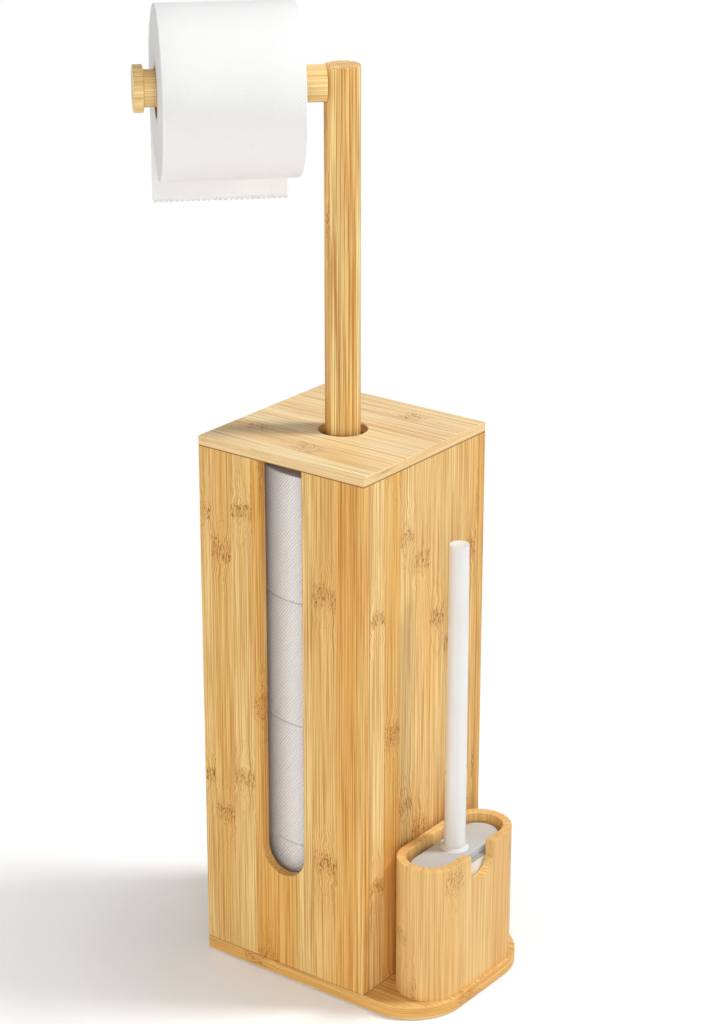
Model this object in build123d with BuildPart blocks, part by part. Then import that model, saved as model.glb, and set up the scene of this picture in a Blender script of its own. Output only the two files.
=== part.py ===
from build123d import *
from math import cos, radians, sin
import os

os.makedirs("parts", exist_ok=True)

# A toilet butler of laminated bamboo, in millimetres. A square tower on a base plate keeps spare
# rolls, a post through the tower's centre carries the roll arm, and a holder beside it takes the
# brush cup. X runs to the right along the front, Y to the back and Z up. The origin is on the
# floor, on the post's axis.

# Base plate and feet
base_thickness = 11.0
base_right = 141.5  # from the post's axis to the right edge
base_corner_radius = 48.0
foot_radius = 8.0
foot_thickness = 3.0
foot_proud = 1.2  # how far the feet stand below the plate
foot_inset = 16.0  # from the plate's edges to the left feet
side_foot_inset = 12.0  # from the right edge to the right feet
side_foot_spread = 56.0  # between the right feet

# Tower
roll_side_gap = 6.5  # from the spare rolls to the panels
roll_headroom = 12.0  # from the top spare roll to the lid
panel_thickness = 8.0
batten_side = 12.0
slot_width = 41.4
slot_sill = 83.0  # from the plate to the slot's lowest point
edge_break = 0.8  # rounding of sharp wooden edges

# Lid
lid_thickness = 8.0
lid_hole_radius = 19.5
lid_block_side = 14.0
lid_block_depth = 7.0
lid_block_clearance = 0.6

# Post and its pivot through the base plate
post_radius = 14.0
post_above_arm = 14.0  # from the arm's axis to the post's top
post_round = 1.5
bolt_radius = 4.0
bolt_head_radius = 7.0
bolt_head_height = 3.2
hex_socket_width = 5.0
hex_socket_depth = 2.0
washer_radius = 10.0
washer_thickness = 1.2
washer_clearance = 0.2
counterbore_radius = 11.0
counterbore_depth = 6.5
bush_wall = 3.0
bush_flange = 1.2
turning_clearance = 0.05  # radial, bolt in bush
turning_gap = 0.1  # axial, where a turning piece meets a fixed one
insert_wall = 2.0
pivot_insert_length = 20.0

# Roll arm and knob
arm_azimuth = -135.0  # degrees from +X
arm_height = 726.5
arm_radius = 14.0
arm_beyond_roll = 9.2  # from the roll to the knob
post_flat_depth = 1.4  # flat on the post that the arm's end seats on
stud_in_post = 21.0
arm_insert_length = 14.0
arm_insert_wall = 1.5
knob_radius = 17.85
knob_thickness = 7.5
knob_round = 1.0
dowel_radius = 4.0
dowel_in_knob = 4.5
dowel_in_arm = 16.0

# Paper rolls
roll_radius = 65.5
roll_width = 105.5
core_bore_radius = 18.0
core_wall = 1.0
spare_roll_count = 4
arm_roll_start = 33.9  # from the post's axis to the roll on the arm
roll_hang_clearance = 0.3
tail_thickness = 0.6
tail_clearance = 0.3
tail_drop = 100.0  # below the roll's axis
tail_wrap = 40.0  # degrees of the roll that the tail still covers

# Brush holder
holder_x = 112.0
holder_width = 53.4
holder_straight = 68.2  # between the centres of the two round ends
holder_wall = 7.5
holder_height = 117.0
notch_width = 31.0
notch_depth = 26.0

# Cup, its shell and liner
cup_clearance = 0.8  # from the cup to the holder, on each side
cup_height = 104.9
cup_draft = 1.1  # how much slimmer each side is at the foot
shell_wall = 1.6
shell_floor = 2.0
shell_foot_round = 3.0
liner_rim_thickness = 2.4
liner_rim_width = 4.3
liner_wall = 1.3
liner_ledge = 1.2
liner_ledge_depth = 9.0
liner_floor = 1.5
liner_floor_gap = 0.5
liner_round = 0.8

# Brush
plate_overlap = 1.5  # of the plate over the cup's rim, along its straight sides
plate_end_gap = 0.4  # how much shorter the plate is at each end
plate_thickness = 5.5
plate_round = 1.2
handle_length = 261.0
handle_foot_radius = 8.75
handle_top_radius = 7.75
handle_flare = 2.5
handle_dish = 1.2
handle_dish_radius = 6.8
handle_socket_depth = 22.0
tang_radius = 4.5
head_length = 84.0
head_half_top = 37.0
head_half_foot = 22.0
head_thickness = 10.0
head_corner_radius = 16.0
blade_thickness = 4.0
blade_margin = 7.0
bristle_length = 5.5
bristle_radius = 1.1
bristle_taper = 4.0  # degrees
bristle_pitch = 4.4  # along a row
bristle_row_pitch = 5.0
bristle_slant = 27.0  # degrees that the rows fall towards the back
bristle_edge = 2.6  # from the head's edges to the outermost bristles

# Wood screws from below
screw_radius = 2.0
screw_head_radius = 4.0
screw_head_height = 2.2
screw_length = 30.0

# Sizes and heights that follow from the sizes above
tower_side = 2 * (roll_radius + roll_side_gap + panel_thickness)
panel_height = spare_roll_count * roll_width + roll_headroom
plate_bottom = foot_proud
plate_top = plate_bottom + base_thickness
counterbore_top = plate_bottom + counterbore_depth
lid_bottom = plate_top + panel_height
bush_top = plate_top + bush_flange
post_bottom = bush_top + turning_gap
washer_top = counterbore_top - turning_gap
head_top = washer_top - washer_thickness
head_bottom = head_top - bolt_head_height
holder_top = plate_top + holder_height
cup_top = plate_top + cup_height
brush_plate_top = cup_top + plate_thickness
post_top = arm_height + post_above_arm
arm_seat = post_radius - post_flat_depth
arm_end = arm_roll_start + roll_width + arm_beyond_roll
half_side = tower_side / 2
half_inner = half_side - panel_thickness
batten_centre = half_inner - batten_side / 2
batten_height = panel_height - lid_block_depth - lid_block_clearance
holder_radius = holder_width / 2
holder_mouth_width = holder_width - 2 * holder_wall
holder_mid_radius = holder_radius - holder_wall / 2
cup_width = holder_mouth_width - 2 * cup_clearance
cup_opening_width = cup_width - 2 * liner_rim_width
plate_width = cup_opening_width + 2 * plate_overlap
plate_straight = holder_straight - 2 * plate_end_gap
arm_roll_z = arm_height - (core_bore_radius - arm_radius) + roll_hang_clearance

# The arm's plane: its normal runs along the arm, its x to the arm's front side and its y up
arm_direction = (cos(radians(arm_azimuth)), sin(radians(arm_azimuth)), 0)
arm_side = (-sin(radians(arm_azimuth)), cos(radians(arm_azimuth)), 0)
arm_plane = Plane(origin=(0, 0, arm_height), x_dir=arm_side, z_dir=arm_direction)
roll_plane = Plane(origin=(0, 0, arm_roll_z), x_dir=arm_side, z_dir=arm_direction)

batten_places = [(sx * batten_centre, sy * batten_centre) for sx in (-1, 1) for sy in (-1, 1)]
holder_screw_places = [
    (holder_x, holder_straight / 2 + holder_mid_radius),
    (holder_x, -holder_straight / 2 - holder_mid_radius),
    (holder_x - holder_mid_radius, 0),
    (holder_x + holder_mid_radius, 0),
]
screw_places = batten_places + holder_screw_places
foot_places = [
    (-half_side + foot_inset, -half_side + 2 * foot_inset),
    (-half_side + foot_inset, half_side - 2 * foot_inset),
    (half_side, -half_side + foot_inset),
    (half_side, half_side - foot_inset),
    (base_right - side_foot_inset, -side_foot_spread / 2),
    (base_right - side_foot_inset, side_foot_spread / 2),
]

# Base plate: square corners under the tower, large round ones beside the holder
with BuildPart() as base_plate:
    with BuildSketch(Plane.XY.offset(plate_bottom)):
        with Locations(((base_right - half_side) / 2, 0)):
            outline = Rectangle(base_right + half_side, tower_side)
        fillet(outline.vertices().group_by(Axis.X)[-1], base_corner_radius)
    extrude(amount=base_thickness)
    fillet(base_plate.faces().sort_by(Axis.Z)[-1].edges(), edge_break)
    with BuildSketch(Plane.XY.offset(plate_bottom)):
        Circle(counterbore_radius)
    extrude(amount=counterbore_depth, mode=Mode.SUBTRACT)
    with BuildSketch(Plane.XY.offset(plate_bottom)):
        Circle(bolt_radius + turning_clearance + bush_wall)
    extrude(amount=base_thickness, mode=Mode.SUBTRACT)
    with BuildSketch(Plane.XY.offset(plate_bottom)):
        with Locations(*foot_places):
            Circle(foot_radius)
    extrude(amount=foot_thickness - foot_proud, mode=Mode.SUBTRACT)
    with Locations(Plane.XY.offset(plate_bottom)):
        with Locations(*screw_places):
            Cylinder(screw_radius, base_thickness, align=(Align.CENTER, Align.CENTER, Align.MIN),
                     mode=Mode.SUBTRACT)
            Cone(screw_head_radius, screw_radius, screw_head_height,
                 align=(Align.CENTER, Align.CENTER, Align.MIN), mode=Mode.SUBTRACT)
base_plate.part.label = "base_plate"

# Rubber feet, let into the plate; the middle one closes the counterbore below the bolt's head
with BuildPart() as base_feet:
    with BuildSketch():
        with Locations(*foot_places):
            Circle(foot_radius)
    extrude(amount=foot_thickness)
    with BuildSketch():
        Circle(counterbore_radius)
    extrude(amount=head_bottom - turning_gap)
base_feet.part.label = "base_feet"

# Front panel with its slot, open at the top and round at the bottom
slot_radius = slot_width / 2
slot_centre = plate_top + slot_sill + slot_radius
with BuildPart() as front_panel:
    with BuildSketch(Plane.XY.offset(plate_top)):
        with Locations((0, -half_side + panel_thickness / 2)):
            Rectangle(tower_side, panel_thickness)
    extrude(amount=panel_height)
    with BuildSketch(Plane.XZ.offset(half_inner)):
        with Locations((0, slot_centre)):
            Circle(slot_radius)
        with Locations((0, (slot_centre + lid_bottom) / 2)):
            Rectangle(slot_width, lid_bottom - slot_centre)
    extrude(amount=panel_thickness, mode=Mode.SUBTRACT)
    outer_face = front_panel.faces().sort_by(Axis.Y)[0]
    fillet(outer_face.edges().filter_by(GeomType.CIRCLE), edge_break)
front_panel.part.label = "front_panel"

with BuildPart() as back_panel:
    with BuildSketch(Plane.XY.offset(plate_top)):
        with Locations((0, half_side - panel_thickness / 2)):
            Rectangle(tower_side, panel_thickness)
    extrude(amount=panel_height)
back_panel.part.label = "back_panel"


def side_panel(side):
    """One side panel between the front and back ones; side is -1 on the left and 1 on the right."""
    with BuildPart() as panel:
        with BuildSketch(Plane.XY.offset(plate_top)):
            with Locations((side * (half_side - panel_thickness / 2), 0)):
                Rectangle(panel_thickness, 2 * half_inner)
        extrude(amount=panel_height)
    return panel


left_panel = side_panel(-1)
left_panel.part.label = "left_panel"
right_panel = side_panel(1)
right_panel.part.label = "right_panel"

# Battens in the tower's corners, which the screws from below hold
with BuildPart() as corner_battens:
    with BuildSketch(Plane.XY.offset(plate_top)):
        with Locations(*batten_places):
            Rectangle(batten_side, batten_side)
    extrude(amount=batten_height)
    with BuildSketch(Plane.XY.offset(plate_top)):
        with Locations(*batten_places):
            Circle(screw_radius)
    extrude(amount=screw_length - base_thickness, mode=Mode.SUBTRACT)
corner_battens.part.label = "corner_battens"

# Countersunk screws from below the plate, into the battens and the brush holder
with BuildPart() as base_screws:
    with BuildSketch(Plane.XY.offset(plate_bottom)):
        with Locations(*screw_places):
            Circle(screw_radius)
    extrude(amount=screw_length)
    with Locations(Plane.XY.offset(plate_bottom)):
        with Locations(*screw_places):
            Cone(screw_head_radius, screw_radius, screw_head_height,
                 align=(Align.CENTER, Align.CENTER, Align.MIN))
base_screws.part.label = "base_screws"

# Lid with its post hole, and the blocks that centre it in the tower
with BuildPart() as lid:
    with BuildSketch(Plane.XY.offset(lid_bottom)):
        Rectangle(tower_side, tower_side)
        Circle(lid_hole_radius, mode=Mode.SUBTRACT)
    extrude(amount=lid_thickness)
    fillet(lid.faces().sort_by(Axis.Z)[-1].edges(), edge_break)
lid.part.label = "lid"

block_centre = half_inner - lid_block_clearance - lid_block_side / 2
with BuildPart() as lid_blocks:
    with BuildSketch(Plane.XY.offset(lid_bottom)):
        with GridLocations(2 * block_centre, 2 * block_centre, 2, 2):
            Rectangle(lid_block_side, lid_block_side)
    extrude(amount=-lid_block_depth)
lid_blocks.part.label = "lid_blocks"

# Post, with a flat for the arm's end, the stud's hole and the insert's hole in its foot
insert_radius = bolt_radius + insert_wall
with BuildPart() as post:
    with BuildSketch(Plane.XY.offset(post_bottom)):
        Circle(post_radius)
    extrude(amount=post_top - post_bottom)
    fillet(post.faces().sort_by(Axis.Z)[-1].edges(), post_round)
    with BuildSketch(arm_plane.offset(arm_seat)):
        with Locations((0, (post_top - arm_height - arm_radius) / 2)):
            Rectangle(2 * post_radius, post_top - arm_height + arm_radius)
    extrude(amount=post_flat_depth, mode=Mode.SUBTRACT)
    with BuildSketch(arm_plane.offset(arm_seat - stud_in_post)):
        Circle(bolt_radius)
    extrude(amount=stud_in_post, mode=Mode.SUBTRACT)
    with BuildSketch(Plane.XY.offset(post_bottom)):
        Circle(insert_radius)
    extrude(amount=pivot_insert_length, mode=Mode.SUBTRACT)
post.part.label = "post"

# Pivot: flanged bush in the plate, insert in the post, and the bolt with its washer
with BuildPart() as pivot_bush:
    with BuildSketch(Plane.XY.offset(counterbore_top)):
        Circle(bolt_radius + turning_clearance + bush_wall)
    extrude(amount=plate_top - counterbore_top)
    with BuildSketch(Plane.XY.offset(plate_top)):
        Circle(post_radius)
    extrude(amount=bush_flange)
    with BuildSketch(Plane.XY.offset(counterbore_top)):
        Circle(bolt_radius + turning_clearance)
    extrude(amount=bush_top - counterbore_top, mode=Mode.SUBTRACT)
pivot_bush.part.label = "pivot_bush"

with BuildPart() as pivot_insert:
    with BuildSketch(Plane.XY.offset(post_bottom)):
        Circle(insert_radius)
        Circle(bolt_radius, mode=Mode.SUBTRACT)
    extrude(amount=pivot_insert_length)
pivot_insert.part.label = "pivot_insert"

with BuildPart() as pivot_washer:
    with BuildSketch(Plane.XY.offset(head_top)):
        Circle(washer_radius)
        Circle(bolt_radius + washer_clearance, mode=Mode.SUBTRACT)
    extrude(amount=washer_thickness)
pivot_washer.part.label = "pivot_washer"

with BuildPart() as pivot_bolt:
    with BuildSketch(Plane.XY.offset(head_bottom)):
        Circle(bolt_head_radius)
    extrude(amount=bolt_head_height)
    with BuildSketch(Plane.XY.offset(head_top)):
        Circle(bolt_radius)
    extrude(amount=post_bottom + pivot_insert_length - head_top)
    with BuildSketch(Plane.XY.offset(head_bottom)):
        RegularPolygon(hex_socket_width / 2, 6, major_radius=False)
    extrude(amount=hex_socket_depth, mode=Mode.SUBTRACT)
pivot_bolt.part.label = "pivot_bolt"

# Roll arm with the insert that the stud screws into, and its knob on a dowel
arm_insert_radius = bolt_radius + arm_insert_wall
with BuildPart() as arm:
    with BuildSketch(arm_plane.offset(arm_seat)):
        Circle(arm_radius)
    extrude(amount=arm_end - arm_seat)
    with BuildSketch(arm_plane.offset(arm_seat)):
        Circle(arm_insert_radius)
    extrude(amount=arm_insert_length, mode=Mode.SUBTRACT)
    with BuildSketch(arm_plane.offset(arm_end)):
        Circle(dowel_radius)
    extrude(amount=-dowel_in_arm, mode=Mode.SUBTRACT)
arm.part.label = "arm"

with BuildPart() as arm_insert:
    with BuildSketch(arm_plane.offset(arm_seat)):
        Circle(arm_insert_radius)
        Circle(bolt_radius, mode=Mode.SUBTRACT)
    extrude(amount=arm_insert_length)
arm_insert.part.label = "arm_insert"

with BuildPart() as arm_stud:
    with BuildSketch(arm_plane.offset(arm_seat - stud_in_post)):
        Circle(bolt_radius)
    extrude(amount=stud_in_post + arm_insert_length)
arm_stud.part.label = "arm_stud"

with BuildPart() as arm_knob:
    with BuildSketch(arm_plane.offset(arm_end)):
        Circle(knob_radius)
    extrude(amount=knob_thickness)
    fillet(arm_knob.edges().filter_by(GeomType.CIRCLE), knob_round)
    with BuildSketch(arm_plane.offset(arm_end)):
        Circle(dowel_radius)
    extrude(amount=dowel_in_knob, mode=Mode.SUBTRACT)
arm_knob.part.label = "arm_knob"

with BuildPart() as knob_dowel:
    with BuildSketch(arm_plane.offset(arm_end - dowel_in_arm)):
        Circle(dowel_radius)
    extrude(amount=dowel_in_arm + dowel_in_knob)
knob_dowel.part.label = "knob_dowel"


def paper_roll(plane):
    """The wound paper of one roll, standing on the plane."""
    with BuildPart() as paper:
        with BuildSketch(plane):
            Circle(roll_radius)
            Circle(core_bore_radius + core_wall, mode=Mode.SUBTRACT)
        extrude(amount=roll_width)
    return paper


def roll_core(plane):
    """The cardboard tube of one roll, standing on the plane."""
    with BuildPart() as tube:
        with BuildSketch(plane):
            Circle(core_bore_radius + core_wall)
            Circle(core_bore_radius, mode=Mode.SUBTRACT)
        extrude(amount=roll_width)
    return tube


arm_roll = paper_roll(roll_plane.offset(arm_roll_start))
arm_roll.part.label = "arm_roll"
arm_roll_core = roll_core(roll_plane.offset(arm_roll_start))
arm_roll_core.part.label = "arm_roll_core"

spare_rolls = []
for number in range(spare_roll_count):
    spare_plane = Plane.XY.offset(plate_top + number * roll_width)
    spare_paper = paper_roll(spare_plane)
    spare_paper.part.label = f"spare_roll_{number + 1}"
    spare_tube = roll_core(spare_plane)
    spare_tube.part.label = f"spare_core_{number + 1}"
    spare_rolls += [spare_paper, spare_tube]

# The loose end of the paper leaves the roll behind and hangs down
tail_inner = roll_radius + tail_clearance
tail_outer = tail_inner + tail_thickness
with BuildPart() as paper_tail:
    with BuildSketch(roll_plane.offset(arm_roll_start)):
        with BuildLine():
            inner_arc = CenterArc((0, 0), tail_inner, 180 - tail_wrap, tail_wrap)
            outer_arc = CenterArc((0, 0), tail_outer, 180 - tail_wrap, tail_wrap)
            Line(inner_arc @ 0, outer_arc @ 0)
            Polyline(inner_arc @ 1, (-tail_inner, -tail_drop), (-tail_outer, -tail_drop), outer_arc @ 1)
        make_face()
    extrude(amount=roll_width)
paper_tail.part.label = "paper_tail"


def stadium(width, straight):
    """A stadium with its straight sides along Y, centred on the holder."""
    with Locations((holder_x, 0)):
        return SlotCenterToCenter(straight, width, rotation=90)


# Brush holder: a bent bamboo shell with a finger notch in its outer side
with BuildPart() as brush_holder:
    with BuildSketch(Plane.XY.offset(plate_top)):
        stadium(holder_width, holder_straight)
        with Locations((holder_x, 0)):
            SlotCenterToCenter(holder_straight, holder_mouth_width, rotation=90, mode=Mode.SUBTRACT)
    extrude(amount=holder_height)
    with BuildSketch(Plane.YZ.offset(holder_x)):
        with Locations((0, holder_top - notch_depth + notch_width / 2)):
            Circle(notch_width / 2)
        with Locations((0, holder_top)):
            Rectangle(notch_width, 2 * (notch_depth - notch_width / 2))
    extrude(amount=holder_width, mode=Mode.SUBTRACT)
    fillet(brush_holder.faces().sort_by(Axis.Z)[-1].edges(), edge_break)
    with BuildSketch(Plane.XY.offset(plate_top)):
        with Locations(*holder_screw_places):
            Circle(screw_radius)
    extrude(amount=screw_length - base_thickness, mode=Mode.SUBTRACT)
brush_holder.part.label = "brush_holder"

# Cup shell: drafted stadium with a rounded foot
shell_top = cup_top - liner_rim_thickness
foot_width = cup_width - 2 * cup_draft
with BuildPart() as cup_shell:
    with BuildSketch(Plane.XY.offset(plate_top)):
        stadium(foot_width, holder_straight)
    with BuildSketch(Plane.XY.offset(shell_top)):
        stadium(cup_width, holder_straight)
    loft()
    fillet(cup_shell.faces().sort_by(Axis.Z)[0].edges(), shell_foot_round)
    with BuildSketch(Plane.XY.offset(plate_top + shell_floor)):
        stadium(foot_width - 2 * shell_wall, holder_straight)
    with BuildSketch(Plane.XY.offset(shell_top)):
        stadium(cup_width - 2 * shell_wall, holder_straight)
    loft(mode=Mode.SUBTRACT)
cup_shell.part.label = "cup_shell"

# Cup liner: a rim on the shell's edge, a short collar, a ledge and the deep well below it
well_width = cup_opening_width - 2 * liner_ledge
well_foot_width = well_width - 2 * cup_draft
ledge_level = cup_top - liner_ledge_depth
liner_bottom = plate_top + shell_floor + liner_floor_gap
with BuildPart() as cup_liner:
    with BuildSketch(Plane.XY.offset(shell_top)):
        stadium(cup_width, holder_straight)
    extrude(amount=liner_rim_thickness)
    with BuildSketch(Plane.XY.offset(ledge_level - liner_wall)):
        stadium(cup_opening_width + 2 * liner_wall, holder_straight)
    extrude(until=Until.NEXT)
    with BuildSketch(Plane.XY.offset(liner_bottom)):
        stadium(well_foot_width + 2 * liner_wall, holder_straight)
    with BuildSketch(Plane.XY.offset(ledge_level)):
        stadium(well_width + 2 * liner_wall, holder_straight)
    loft()
    with BuildSketch(Plane.XY.offset(ledge_level)):
        stadium(cup_opening_width, holder_straight)
    extrude(amount=liner_ledge_depth, mode=Mode.SUBTRACT)
    fillet(cup_liner.faces().sort_by(Axis.Z)[-1].edges(), liner_round)
    with BuildSketch(Plane.XY.offset(liner_bottom + liner_floor)):
        stadium(well_foot_width, holder_straight)
    with BuildSketch(Plane.XY.offset(ledge_level)):
        stadium(well_width, holder_straight)
    loft(mode=Mode.SUBTRACT)
cup_liner.part.label = "cup_liner"

# Brush plate, which covers the cup
with BuildPart() as brush_plate:
    with BuildSketch(Plane.XY.offset(cup_top)):
        stadium(plate_width, plate_straight)
    extrude(amount=plate_thickness)
    fillet(brush_plate.faces().sort_by(Axis.Z)[-1].edges(), plate_round)
    with BuildSketch(Plane.XY.offset(cup_top)):
        with Locations((holder_x, 0)):
            Circle(tang_radius)
    extrude(amount=plate_thickness, mode=Mode.SUBTRACT)
brush_plate.part.label = "brush_plate"

# Brush handle: slightly tapered, with a flared foot, a dished end and a socket for the tang
handle_top = brush_plate_top + handle_length
dish_radius = (handle_dish_radius ** 2 + handle_dish ** 2) / (2 * handle_dish)
with BuildPart() as brush_handle:
    with BuildSketch(Plane.XZ):
        with BuildLine():
            foot = (holder_x + handle_foot_radius + handle_flare, brush_plate_top)
            neck = (holder_x + handle_foot_radius, brush_plate_top + handle_flare)
            Line((holder_x, brush_plate_top), foot)
            Line(foot, neck)
            Polyline(neck, (holder_x + handle_top_radius, handle_top), (holder_x, handle_top),
                     (holder_x, brush_plate_top))
        make_face()
    revolve(axis=Axis((holder_x, 0, 0), (0, 0, 1)))
    with Locations((holder_x, 0, handle_top - handle_dish + dish_radius)):
        Sphere(dish_radius, mode=Mode.SUBTRACT)
    with BuildSketch(Plane.XY.offset(brush_plate_top)):
        with Locations((holder_x, 0)):
            Circle(tang_radius)
    extrude(amount=handle_socket_depth, mode=Mode.SUBTRACT)
brush_handle.part.label = "brush_handle"


def paddle(half_top, half_foot, length, corner):
    """The brush head's outline in the YZ plane: wide below the plate, narrow at the foot."""
    outline = Polygon((-half_top, cup_top), (-half_foot, cup_top - length), (half_foot, cup_top - length),
                      (half_top, cup_top), align=None)
    return fillet(outline.vertices().group_by(Axis.Y)[0], corner)


# Blade inside the brush head, with the tang that passes through the plate into the handle
with BuildPart() as brush_blade:
    with BuildSketch(Plane.YZ.offset(holder_x)):
        paddle(head_half_top - blade_margin, head_half_foot - blade_margin, head_length - blade_margin,
               head_corner_radius - blade_margin)
    extrude(amount=blade_thickness / 2, both=True)
    with BuildSketch(Plane.XY.offset(cup_top)):
        with Locations((holder_x, 0)):
            Circle(tang_radius)
    extrude(amount=plate_thickness + handle_socket_depth)
brush_blade.part.label = "brush_blade"

# Soft brush head over the blade, with staggered slanting rows of bristles on both broad faces
with BuildSketch(Plane.YZ.offset(holder_x)) as bristle_field:
    paddle(head_half_top - bristle_edge, head_half_foot - bristle_edge, head_length - bristle_edge,
           head_corner_radius - bristle_edge)
row_reach = int(head_length / bristle_pitch)
row_count = int(2 * head_length / bristle_row_pitch)
bristle_places = []
for row in range(row_count):
    for step in range(-row_reach, row_reach + 1):
        along_row = (step + row % 2 / 2) * bristle_pitch
        below_plate = head_length - (row + 1) * bristle_row_pitch
        place = Vector(along_row, below_plate).rotate(Axis.Z, -bristle_slant)
        spot = Vector(holder_x, place.X, cup_top + place.Y)
        if place.Y < -bristle_edge and bristle_field.sketch.face().is_inside(spot):
            bristle_places.append(spot)

with BuildPart() as bristle:
    with BuildSketch():
        RegularPolygon(bristle_radius, 6)
    extrude(amount=bristle_length, taper=bristle_taper)

with BuildPart() as brush_head:
    with BuildSketch(Plane.YZ.offset(holder_x)):
        paddle(head_half_top, head_half_foot, head_length, head_corner_radius)
    extrude(amount=head_thickness / 2, both=True)
    with BuildSketch(Plane.YZ.offset(holder_x)):
        paddle(head_half_top - blade_margin, head_half_foot - blade_margin, head_length - blade_margin,
               head_corner_radius - blade_margin)
    extrude(amount=blade_thickness / 2, both=True, mode=Mode.SUBTRACT)
    for face_side in (-1, 1):
        broad_face = Plane(origin=(holder_x + face_side * head_thickness / 2, 0, 0),
                           x_dir=(0, face_side, 0), z_dir=(face_side, 0, 0))
        with Locations(broad_face):
            with Locations(*[(face_side * spot.Y, spot.Z) for spot in bristle_places]):
                add(bristle.part)
brush_head.part.label = "brush_head"

pieces = [
    base_plate, base_feet, front_panel, back_panel, left_panel, right_panel, corner_battens,
    base_screws, lid, lid_blocks, post, pivot_bush, pivot_insert, pivot_washer,
    pivot_bolt, arm, arm_insert, arm_stud, arm_knob, knob_dowel, arm_roll, arm_roll_core, paper_tail,
    brush_holder, cup_shell, cup_liner, brush_plate, brush_handle, brush_blade, brush_head,
] + spare_rolls
for piece in pieces:
    export_step(piece.part, f"parts/{piece.part.label}.step")
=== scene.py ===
import bmesh
import bpy
import math
from mathutils import Matrix, Vector, noise


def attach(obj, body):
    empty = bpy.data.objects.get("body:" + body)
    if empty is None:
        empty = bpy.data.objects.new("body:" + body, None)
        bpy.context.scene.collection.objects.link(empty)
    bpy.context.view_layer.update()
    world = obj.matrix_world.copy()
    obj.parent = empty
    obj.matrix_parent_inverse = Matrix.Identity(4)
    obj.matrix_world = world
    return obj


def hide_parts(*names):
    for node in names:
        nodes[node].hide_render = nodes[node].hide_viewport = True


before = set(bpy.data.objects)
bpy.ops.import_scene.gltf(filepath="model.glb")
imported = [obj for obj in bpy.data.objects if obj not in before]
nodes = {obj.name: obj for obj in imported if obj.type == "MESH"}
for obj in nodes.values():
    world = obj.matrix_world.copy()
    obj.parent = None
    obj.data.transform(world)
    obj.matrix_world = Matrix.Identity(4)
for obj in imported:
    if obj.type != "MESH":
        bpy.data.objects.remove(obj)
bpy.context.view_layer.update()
print("frame loaded:", len(nodes), "nodes")

mm = 0.001
xWay, yWay, zWay = (1, 0, 0), (0, 1, 0), (0, 0, 1)

# The places that several pieces share, in millimetres, as the CAD model has them
stand = {
    "armAzimuth": -135.0,     # degrees from +X, seen from above
    "rollHeight": 722.8,      # the roll hangs on the arm by the top of its core
    "rollStart": 33.9,        # along the arm, from the post's axis
    "plateTop": 12.2,
    "lidBottom": 446.2,
    "towerHalf": 80.0,
    "panel": 8.0,
    "holderX": 112.0,
    "holderStraight": 34.1,   # half of the straight part of its outline
    "cupTop": 117.1,
}
armTurn = math.radians(stand["armAzimuth"])
armWay = Vector((math.cos(armTurn), math.sin(armTurn), 0))
armSide = Vector((-armWay.y, armWay.x, 0))


def linear(hexColour):
    # sRGB hex to the linear colour that the shader sockets take
    steps = [int(hexColour[i:i + 2], 16) / 255 for i in (0, 2, 4)]
    return [s / 12.92 if s <= 0.04045 else ((s + 0.055) / 1.055) ** 2.4 for s in steps] + [1.0]


def addNode(tree, kind, links=None, output=0, **settings):
    # adds one node, sets it, links or fills its inputs, and gives back the output that is asked for
    node = tree.nodes.new("ShaderNode" + kind)
    for name, value in settings.items():
        setattr(node, name, value)
    for key, value in (links or {}).items():
        if isinstance(value, bpy.types.NodeSocket):
            tree.links.new(value, node.inputs[key])
        else:
            node.inputs[key].default_value = value
    return node.outputs[output]


def newMaterial(name, **sockets):
    # a Principled material with its constants on the shader's own sockets
    material = bpy.data.materials.new(name)
    material.use_nodes = True
    shader = material.node_tree.nodes["Principled BSDF"]
    for key, value in sockets.items():
        shader.inputs[key.replace("_", " ")].default_value = value
    return material, material.node_tree, shader


def dress(material, *names):
    # gives CAD nodes this material in place of the plain one that they come with
    for name in names:
        nodes[name].data.materials.clear()
        nodes[name].data.materials.append(material)


def addObject(name, data):
    made = bpy.data.objects.new(name, data)
    bpy.context.scene.collection.objects.link(made)
    return made


bamboo = {
    "panel": ("FADC95", "ECB259"),     # palest and warmest strip
    "side": ("FCE09C", "EFB75B"),
    # the lid's own tone, made paler in part as a painted sheen on its top
    "lid": ("FFECBA", "FAD290"),
    "arm": ("FDE2A2", "F3C97E"),
    "post": ("FCE6A2", "EAB862"),
    # the holder's own tone, made deeper and warmer in part as painted shade
    "holder": ("F8D591", "E4A85C"),
    "fibre": "BB721A",
    "knuckle": "904C0C",
    "seam": "965818",
    # colour of the painted shadow line where two boards meet
    "jointShadow": "9A6218",
    "unevenStrips": 0.4,      # 0 for strips of one width, 1 for the most uneven
    "toneShare": 0.75,        # how far a strip's own tone goes towards the warmest
    "driftShare": 0.6,        # and how far the slow drift along it
    "toneBase": 0.22,         # taken off both
    "fibreShare": 0.72,       # darkness of the fibres and of the lines of edge grain
    "archShare": 0.3,
    "haloShare": 0.16,        # the darker ground round a knuckle
    "knuckleShare": 0.8,
    "knuckleReach": (8.0, 19.0),      # half the height of a knuckle, from the least to the most
    "bendReach": 55.0,        # distance from a knuckle within which the fibres bend
    "bendAside": 8.0,         # and how far they bend
    "archLength": 26.0,       # between two faint arches, along the strip
    "arcPitch": 2.6,          # between the dark arcs of a knuckle
    "linePitch": 2.6,         # between the dark lines of an edge-grain strip
    "seamWidth": 0.4,
    "jointShadowLine": (0.3, 0.7),  # half widths of the painted shadow line where two boards meet, where it is full and where it has faded
    "poreDepth": 0.05,
    "holderRadius": 24.0,     # at which strips are counted round the holder's ends
    "holderInner": 190.0,     # added on the side that faces the tower, so that its strips differ
}


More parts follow.
